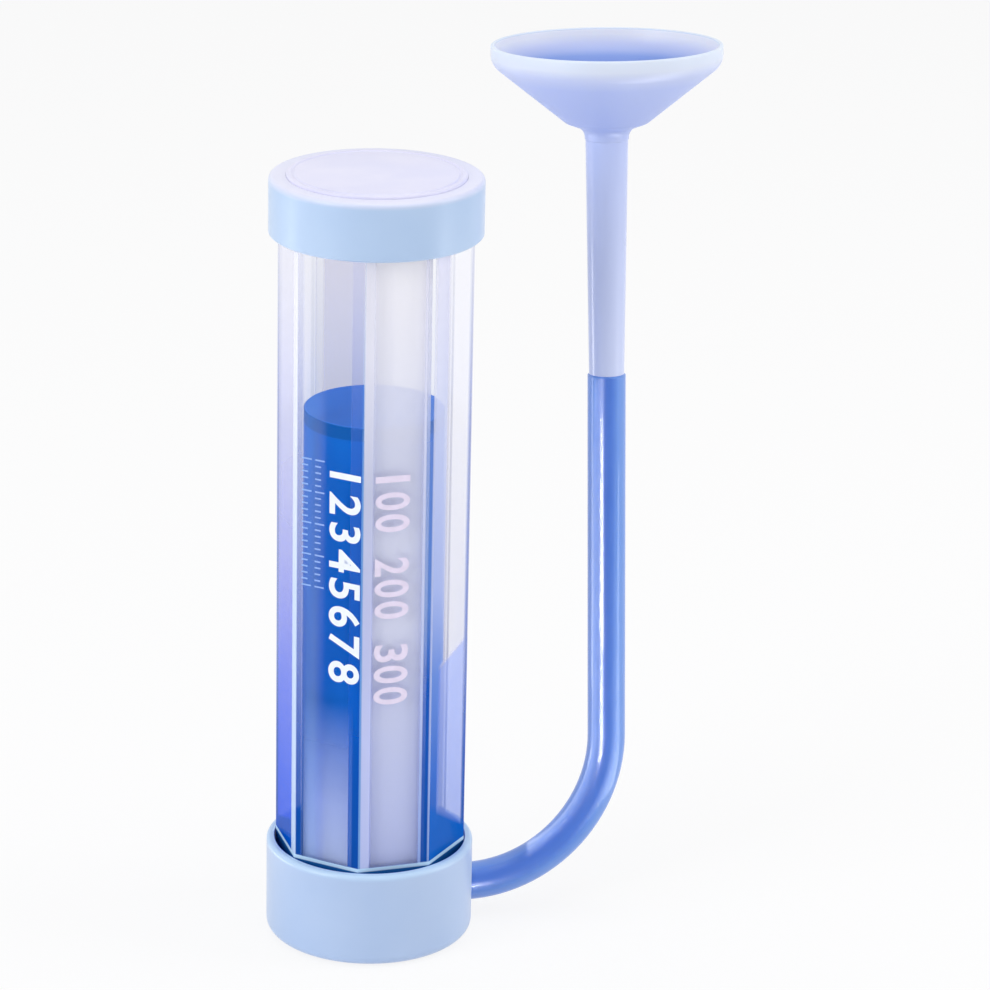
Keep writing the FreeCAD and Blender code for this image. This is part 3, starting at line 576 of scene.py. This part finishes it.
def hose_plastic():
    """Clear blue tube with a deep blue bore."""
    gloss = {"Specular_IOR_Level": 0.25, "Coat_Weight": 0.35, "Coat_Roughness": 0.04}
    shade = Shade("hose_plastic", leaning=True, IOR=1.45, **gloss)
    across, along, height = shade.axes()
    past = shade.math("MAXIMUM", shade.math("SUBTRACT", across, (HOSE_REACH - HOSE_BEND) * MM), 0.0)
    under = shade.math("MAXIMUM", shade.math("SUBTRACT", HOSE_BEND * MM, height), 0.0)
    off = shade.math("SUBTRACT", shade.length(past, under), HOSE_BEND * MM)
    wall = shade.step(shade.length(off, along), HOSE_MID_WALL)
    outside = shade.cloud(tone(100, 147, 227), tone(106, 151, 229), 60)
    shade.set("Base Color", shade.mix(wall, tone(0, 84, 208), outside))
    shade.finish(0.32, 0.04, 2600, 0.0000008)
    facing = shade.add("ShaderNodeLayerWeight")
    facing.inputs["Blend"].default_value = 0.5
    share = shade.spread(facing.outputs["Facing"], 0.5, 0.96, 0.04, 0.22)
    skin = shade.math("MULTIPLY", shade.front(), share)
    shade.see_through(shade.math("MAXIMUM", shade.math("SUBTRACT", 1.0, wall), skin))
    return shade.material


def stem_plastic():
    """Pale lavender tube, a little bluer upward."""
    shade = Shade("stem_plastic", leaning=True, IOR=1.45, Coat_Weight=0.4, Coat_Roughness=0.06)
    _, _, height = shade.axes()
    shade.set("Base Color", shade.fade(height, [
        (160, tone(204, 214, 247)),
        (235, tone(188, 201, 244)),
    ]))
    return shade.finish(0.3, 0.05)


def cup_silicone(name, stops):
    """Soft pale silicone whose colour changes with the depth under the lip; its stops carry painted
    light and shade.
    """
    soft = {"Subsurface_Weight": 0.15, "Subsurface_Scale": 0.003, "Subsurface_Radius": (0.6, 0.8, 1.0)}
    shade = Shade(name, IOR=1.43, **soft)
    _, _, height = shade.axes()
    shade.set("Base Color", shade.fade(height, [(CUP_RIM - depth, colour) for depth, colour in stops]))
    return shade.finish(0.4, 0.04)


def print_ink(name, colour):
    """Ink with a slightly uneven cover."""
    shade = Shade(name, IOR=1.45)
    shade.set("Base Color", shade.cloud(darker(colour, 0.94), colour, 400))
    return shade.finish(0.4, 0.05, 3000, 0.00001)


def dress(material, *names):
    """Gives CAD nodes a better material."""
    for name in names:
        materials = NODES[name].data.materials
        for index in range(len(materials)):
            materials[index] = material


def dress_nodes():
    """The materials of the CAD's own solids."""
    dress(cap_plastic(), "cap_shell")
    dress(base_plastic(), "base_shell")
    dress(float_plastic(), "float_tube", "float_lid")
    dress(clear_acrylic(), "clear_tube")
    dress(milky_film(), "scale_film")
    dress(side_film_tint(), "side_film")
    dress(hose_plastic(), "breathing_tube")
    dress(stem_plastic(), "mouth_stem")
    dress(plain_plastic("floor_plastic", tone(0, 84, 190), tone(4, 92, 200)), "air_manifold")
    pipe = plain_plastic("pipe_plastic", tone(190, 205, 236), tone(198, 212, 240))
    dress(pipe, "riser_pipe", "riser_head", "float_guide")


def rounded(points, steps=6):
    """An outline whose corners, given as (radius, height, rounding), are rounded off."""
    result = []
    count = len(points)
    for index, (across, up, rounding) in enumerate(points):
        corner = Vector((across, up))
        if not rounding:
            result.append(corner)
            continue
        before = Vector(points[index - 1][:2]) - corner
        after = Vector(points[(index + 1) % count][:2]) - corner
        half = before.angle(after) / 2
        cut = min(rounding / math.tan(half), before.length * 0.49, after.length * 0.9)
        radius = cut * math.tan(half)
        bisector = (before.normalized() + after.normalized()).normalized()
        centre = corner + bisector * (radius / math.sin(half))
        start = corner + before.normalized() * cut - centre
        sweep = start.angle_signed(corner + after.normalized() * cut - centre)
        for step in range(steps + 1):
            turn = Matrix.Rotation(-sweep * step / steps, 2)
            result.append(centre + turn @ start)
    return result


def lathe(name, outline, materials, sides=128, first_angle=0.0, second_from=None):
    """A closed outline in millimetres, turned about Z. It has the second material past second_from."""
    bm = bmesh.new()
    rings = []
    for across, up in outline:
        if across < 1e-6:
            rings.append([bm.verts.new((0, 0, up * MM))])
            continue
        ring = []
        for side in range(sides):
            angle = first_angle + 2 * math.pi * side / sides
            place = (across * math.cos(angle) * MM, across * math.sin(angle) * MM, up * MM)
            ring.append(bm.verts.new(place))
        rings.append(ring)
    for index, ring in enumerate(rings):
        after = rings[(index + 1) % len(rings)]
        if len(ring) == 1 and len(after) == 1:
            continue
        for side in range(sides):
            corners = [ring[side % len(ring)], ring[(side + 1) % sides % len(ring)]]
            corners += [after[(side + 1) % sides % len(after)], after[side % len(after)]]
            face = bm.faces.new(list(dict.fromkeys(corners)))
            if second_from is not None and index >= second_from:
                face.material_index = 1
    bmesh.ops.recalc_face_normals(bm, faces=bm.faces)
    return make_piece(name, bm, materials)


def make_piece(name, bm, materials):
    """A smooth-shaded object from a finished bmesh."""
    mesh = bpy.data.meshes.new(name)
    bm.to_mesh(mesh)
    bm.free()
    for material in materials:
        mesh.materials.append(material)
    mesh.shade_smooth()
    mesh.set_sharp_from_angle(angle=SMOOTH_UP_TO)
    piece = bpy.data.objects.new(name, mesh)
    bpy.context.scene.collection.objects.link(piece)
    return piece


def stand_for(piece, node, body, place=None):
    """Puts a piece in its place on its body, where it stands for a CAD node, which it hides."""
    if place is not None:
        piece.matrix_world = place
    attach(piece, body)
    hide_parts(node)


STEM_PLACE = Matrix.Translation((HOSE_REACH * MM, 0, PORT_HEIGHT * MM)) @ Matrix.Rotation(-LEAN, 4, "X")
PORT_PLACE = Matrix.Translation((0, 0, PORT_HEIGHT * MM)) @ Matrix.Rotation(math.pi / 2, 4, "Y")


def make_cup():
    """Cup with a thin rolled lip, a rounded hip, a cone and a collar that runs into the stem."""
    rim = CUP_RIM
    outside = [
        (CUP_RADIUS - 1.25, rim, 0.55),
        (CUP_RADIUS, rim, 0.6),
        (CUP_RADIUS, rim - 5.6, 9.2),
        (12.7, rim - 23.8, 3.3),
        (6.9, rim - 26.0, 3.4),
        (6.65, rim - 29.2, 0.3),
        (5.25, rim - 29.2, 0),
        (5.25, rim - 23.3, 0.2),
        (10.2, rim - 23.3, 2.0),
        (CUP_RADIUS - 1.9, rim - 4.7, 7.3),
    ]
    outline = rounded(outside, 8)
    lowest = min(range(len(outline)), key=lambda index: (outline[index].y, outline[index].x))
    # Painted highlight: the pale band just under the lip. Lower down the colour drifts with the depth.
    skin = cup_silicone("cup_outside", [
        (33, tone(190, 202, 244)),
        (27.5, tone(184, 197, 242)),
        (25.5, tone(170, 186, 237)),
        (24, tone(168, 184, 236)),
        (10, tone(177, 192, 239)),
        (6, tone(198, 208, 241)),
        (3.5, tone(217, 225, 243)),
        (0, tone(220, 230, 246)),
    ])
    # Painted light and shade inside: pale near the rim, where light falls in, and deep blue shade lower
    # down.
    bowl_painted_shade = cup_silicone("cup_inside", [
        (24, tone(90, 124, 208)),
        (12, tone(96, 130, 210)),
        (8, tone(128, 156, 221)),
        (4.5, tone(204, 212, 243)),
        (2, tone(244, 246, 253)),
        (0, tone(248, 250, 254)),
    ])
    cup = lathe("cup", outline, [skin, bowl_painted_shade], second_from=lowest)
    stand_for(cup, "mouth_cup", "mouthpiece", STEM_PLACE)


def make_sole(material):
    """The foot pad with its round grooves."""
    pad = [(0, 1.4, 0), (27, 1.4, 0.15), (27, 0, 0.35)]
    for groove in (23.5, 19.5, 15.5, 11.5, 7.5):
        pad += [
            (groove + 0.6, 0, 0.1),
            (groove + 0.4, 0.35, 0),
            (groove - 0.4, 0.35, 0),
            (groove - 0.6, 0, 0.1),
        ]
    pad.append((0, 0, 0))
    stand_for(lathe("foot_pad_sole", rounded(pad, 3), [material]), "foot_pad", "chamber")


def ring_outline(outer, inner, low, high, rounding):
    """A ring's section with its four corners rounded."""
    corners = ((outer, low), (outer, high), (inner, high), (inner, low))
    return [(across, up, rounding) for across, up in corners]


def make_seals(material):
    """The two small round rings, on the nipple and on the stem's spigot."""
    for name, node, body, low, place in (
        ("nipple_seal_ring", "swivel_seal", "chamber", 21.4, PORT_PLACE),
        ("spigot_seal_ring", "stem_seal", "mouthpiece", 149.9, STEM_PLACE),
    ):
        seal = ring_outline(4.17, 2.97, low, low + SEAL_THICKNESS, 0.5)
        stand_for(lathe(name, rounded(seal, 5), [material], sides=48), node, body, place)


def make_gasket(material):
    """The eight-sided gasket under the tube."""
    corner = 1 / math.cos(EIGHTH / 2)
    outer, inner = TUBE_FLAT * corner, GASKET_BORE * corner
    outline = rounded(ring_outline(outer, inner, SEAT_HEIGHT, SEAT_HEIGHT + SEAL_THICKNESS, 0.25), 3)
    piece = lathe("gasket_octagon", outline, [material], sides=FLATS, first_angle=EIGHTH / 2)
    stand_for(piece, "tube_gasket", "chamber")


def make_soft_rings():
    """Rubber pieces: foot pad with grooves, bush, landing ring, bumper, grip ring, seals and gasket."""
    pale = rubber("pale_rubber", tone(188, 204, 236))
    blue = rubber("blue_rubber", tone(92, 130, 206))
    dark = rubber("seal_rubber", tone(60, 72, 96))
    sole = rubber("sole_rubber", tone(128, 140, 166), 0.75)
    make_sole(sole)
    bush = [(7.3, 27.8, 0.2), (7.3, 31.0, 0.45), (6.0, 31.0, 0.45), (6.0, 27.8, 0.2)]
    stand_for(lathe("port_bush", rounded(bush, 5), [pale]), "port_grommet", "chamber", PORT_PLACE)
    top = SEAT_HEIGHT + 5.0
    landing = [(13.0, SEAT_HEIGHT, 0.5), (13.0, top, 1.2), (8.1, top, 1.2), (8.1, SEAT_HEIGHT, 0.5)]
    bumper = [(0, 240.0, 0), (12.0, 240.0, 0.2), (12.0, 237.0, 1.0), (0, 237.0, 0)]
    grip = ring_outline(25.15, 23.55, 234.2, 235.8, 0.6)
    for name, node, body, outline, material in (
        ("landing_buffer", "landing_ring", "chamber", landing, blue),
        ("bumper_disc", "cap_bumper", "cap", bumper, pale),
        ("grip_ring", "cap_grip_ring", "cap", grip, pale),
    ):
        stand_for(lathe(name, rounded(outline), [material]), node, body)
    make_seals(dark)
    make_gasket(blue)


def make_inlay():
    """Plain raised disc with a shallow ring near its edge."""
    foot = DISC_TOP - 1.8
    groove = DISC_TOP - 0.35
    disc = [
        (0, foot, 0),
        (DISC_RADIUS, foot, 0),
        (DISC_RADIUS, DISC_TOP, 0.5),
        (25.6, DISC_TOP, 0.2),
        (25.2, groove, 0.1),
        (24.6, groove, 0.1),
        (24.2, DISC_TOP, 0.2),
        (0, DISC_TOP, 0),
    ]
    stand_for(lathe("cap_disc", rounded(disc, 4), [inlay_plastic()]), "cap_inlay", "cap")


def make_glyph(text):
    """The flat mesh of one plain digit, centred on its own box, and its width and height."""
    curve = bpy.data.curves.new("glyph", "FONT")
    curve.body = text
    curve.offset = INK_BOLDNESS
    maker = bpy.data.objects.new("glyph", curve)
    bpy.context.scene.collection.objects.link(maker)
    graph = bpy.context.evaluated_depsgraph_get()
    mesh = bpy.data.meshes.new_from_object(maker.evaluated_get(graph))
    bpy.data.objects.remove(maker)
    bpy.data.curves.remove(curve)
    low = [min(vertex.co[axis] for vertex in mesh.vertices) for axis in (0, 1)]
    high = [max(vertex.co[axis] for vertex in mesh.vertices) for axis in (0, 1)]
    middle = Vector(((low[0] + high[0]) / 2, (low[1] + high[1]) / 2, 0))
    mesh.transform(Matrix.Translation(-middle))
    return mesh, high[0] - low[0], high[1] - low[1]


def flat_place(turn, beside, height):
    """A place on the outside of one of the tube's flats: local X runs down, local Y to the right."""
    normal = Vector((math.cos(turn), math.sin(turn), 0))
    right = Vector((-math.sin(turn), math.cos(turn), 0))
    down = Vector((0, 0, -1))
    matrix = Matrix((down, right, normal)).transposed().to_4x4()
    matrix.translation = (normal * (TUBE_FLAT + INK_GAP) + right * beside + Vector((0, 0, height))) * MM
    return matrix


def make_numbers(name, turn, left, right, top, pitch, text, material):
    """A column of plain digits that reads downward on one flat."""
    bm = bmesh.new()
    for index, digit in enumerate(text):
        if digit == " ":
            continue
        mesh, width, height = make_glyph(digit)
        size = (right - left) * MM / height
        narrow = min(1.0, pitch * 0.8 * MM / (width * size))
        place = flat_place(turn, (left + right) / 2, top - (index + 0.5) * pitch)
        mesh.transform(place @ Matrix.Diagonal((size * narrow, size, 1, 1)))
        bm.from_mesh(mesh)
        bpy.data.meshes.remove(mesh)
    piece = make_piece(name, bm, [material])
    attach(piece, "chamber")


def make_ticks(name, turn, columns, low, high, pitch, material):
    """Fine level marks in columns, each fifth one longer."""
    bm = bmesh.new()
    for left in columns:
        for index in range(int((high - low) / pitch) + 1):
            length = 3.2 if index % 5 == 0 else 2.0
            matrix = flat_place(turn, left, low + index * pitch)
            corners = [(-0.25, 0), (0.25, 0), (0.25, length), (-0.25, length)]
            bm.faces.new([bm.verts.new(matrix @ Vector((x * MM, y * MM, 0))) for x, y in corners])
    piece = make_piece(name, bm, [material])
    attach(piece, "chamber")


def make_print():
    """Plain numbers and level marks where the tube's flats are printed."""
    side, front = math.radians(225), math.radians(270)
    white = print_ink("white_ink", tone(240, 246, 255))
    make_numbers("level_numbers", side, 0.4, 11.0, 162.0, 8.9, "12345678", white)
    pink = print_ink("pale_ink", tone(236, 226, 248))
    make_numbers("volume_numbers", front, -7.0, 3.6, 160.5, 6.9, "100 200 300", pink)
    soft = print_ink("soft_ink", tone(140, 176, 236))
    make_ticks("level_ticks", side, (-9.0, -4.6), 121.0, 161.0, 2.0, soft)


def area_light(name, place, target, size, power, reflection_only=False):
    """A flat lamp that the camera doesn't see, and that may show in gloss only."""
    data = bpy.data.lights.new(name, "AREA")
    data.shape = "RECTANGLE"
    data.size, data.size_y = size
    data.energy = power
    light = bpy.data.objects.new(name, data)
    light.location = place
    light.rotation_euler = (Vector(target) - Vector(place)).to_track_quat("-Z", "Y").to_euler()
    light.visible_camera = False
    if reflection_only:
        light.visible_diffuse = False
        light.visible_transmission = False
    bpy.context.scene.collection.objects.link(light)
    return light


def floor_card(name, start, turn, distance, size, power):
    """A strip lamp lying on the floor that shows only as a streak in upright gloss."""
    direction = Vector((math.cos(turn), math.sin(turn), 0))
    place = Vector(start) + direction * distance
    light = area_light(name, place, place + Vector((0, 0, 1)), size, power, reflection_only=True)
    light.rotation_euler = (math.pi, 0, turn + math.pi / 2)
    return light


def shine_only_on(node, lights):
    """Keeps the lights to one node, so that their streaks don't show in others."""
    lit = bpy.data.collections.new(node + "_lit")
    lit.objects.link(NODES[node])
    for light in lights:
        light.light_linking.receiver_collection = lit


def make_world():
    """A soft light tent that is plain white where the camera, gloss or glass looks at it."""
    world = bpy.data.worlds.new("tent")
    world.use_nodes = True
    bpy.context.scene.world = world
    tree = world.node_tree
    background = tree.nodes["Background"]
    rays = tree.nodes.new("ShaderNodeLightPath")
    strength = tree.nodes.new("ShaderNodeMapRange")
    strength.inputs["To Min"].default_value = WHITE
    strength.inputs["To Max"].default_value = TENT_ON_OBJECT
    tree.links.new(rays.outputs["Is Diffuse Ray"], strength.inputs["Value"])
    tree.links.new(strength.outputs[0], background.inputs["Strength"])
    background.inputs["Color"].default_value = (1.0, 1.0, 1.0, 1.0)


def make_floor():
    """Pale floor that keeps a soft shadow and shows white to the camera, glass and gloss."""
    mesh = bpy.data.meshes.new("studio_floor")
    corners = [(x * FLOOR_HALF, y * FLOOR_HALF, 0) for x, y in ((-1, -1), (1, -1), (1, 1), (-1, 1))]
    mesh.from_pydata(corners, [], [(0, 1, 2, 3)])
    floor = bpy.data.objects.new("studio_floor", mesh)
    bpy.context.scene.collection.objects.link(floor)
    material = bpy.data.materials.new("studio_floor")
    material.use_nodes = True
    tree = material.node_tree
    shader = tree.nodes["Principled BSDF"]
    shader.inputs["Base Color"].default_value = (0.9, 0.9, 0.92, 1.0)
    shader.inputs["Roughness"].default_value = 0.9
    shader.inputs["Specular IOR Level"].default_value = 0.1
    glow = tree.nodes.new("ShaderNodeEmission")
    glow.inputs["Strength"].default_value = WHITE
    rays = tree.nodes.new("ShaderNodeLightPath")
    seen = tree.nodes.new("ShaderNodeMath")
    seen.operation = "SUBTRACT"
    seen.inputs[0].default_value = 1.0
    tree.links.new(rays.outputs["Is Diffuse Ray"], seen.inputs[1])
    share = tree.nodes.new("ShaderNodeMath")
    share.operation = "MULTIPLY"
    share.inputs[1].default_value = FLOOR_GLOW
    tree.links.new(seen.outputs[0], share.inputs[0])
    mix = tree.nodes.new("ShaderNodeMixShader")
    tree.links.new(share.outputs[0], mix.inputs[0])
    tree.links.new(shader.outputs[0], mix.inputs[1])
    tree.links.new(glow.outputs[0], mix.inputs[2])
    tree.links.new(mix.outputs[0], tree.nodes["Material Output"].inputs["Surface"])
    mesh.materials.append(material)


def make_lights():
    """Two soft lamps at the sides and one above, and strips that only give light streaks."""
    for name, place, size, power in (
        ("soft_left", (-1.3, -0.5, 0.7), (0.7, 1.2), 10.3),
        ("soft_right", (1.3, -0.5, 0.7), (0.7, 1.2), 8.0),
        ("soft_top", (0.1, 0.1, 1.7), (1.2, 1.2), 7.5),
    ):
        area_light(name, place, MIDDLE, size, power)
    for name, turn in (("card_left", 152.5), ("card_right", 332.5)):
        floor_card(name, (0, 0, CARD_HEIGHT), math.radians(turn), 0.44, (0.12, 0.62), 1.6)
    hose_foot = (HOSE_REACH * MM, 0, CARD_HEIGHT)
    hose_middle = (HOSE_REACH * MM, 0, 0.095)
    turn = math.radians(219)
    shine_only_on("breathing_tube", [
        floor_card("card_near", hose_foot, turn, 0.2, (0.05, 0.3), 2.6),
        floor_card("card_far", hose_foot, turn, 0.6, (0.13, 0.5), 15.0),
        area_light("card_sheen", (0.05, 0.004, 0.095), hose_middle, (0.02, 0.14), 0.05, True),
    ])


bpy.context.scene.view_settings.view_transform = "Standard"
make_camera()
make_world()
make_floor()
make_lights()
dress_nodes()
make_cup()
make_soft_rings()
make_inlay()
make_print()
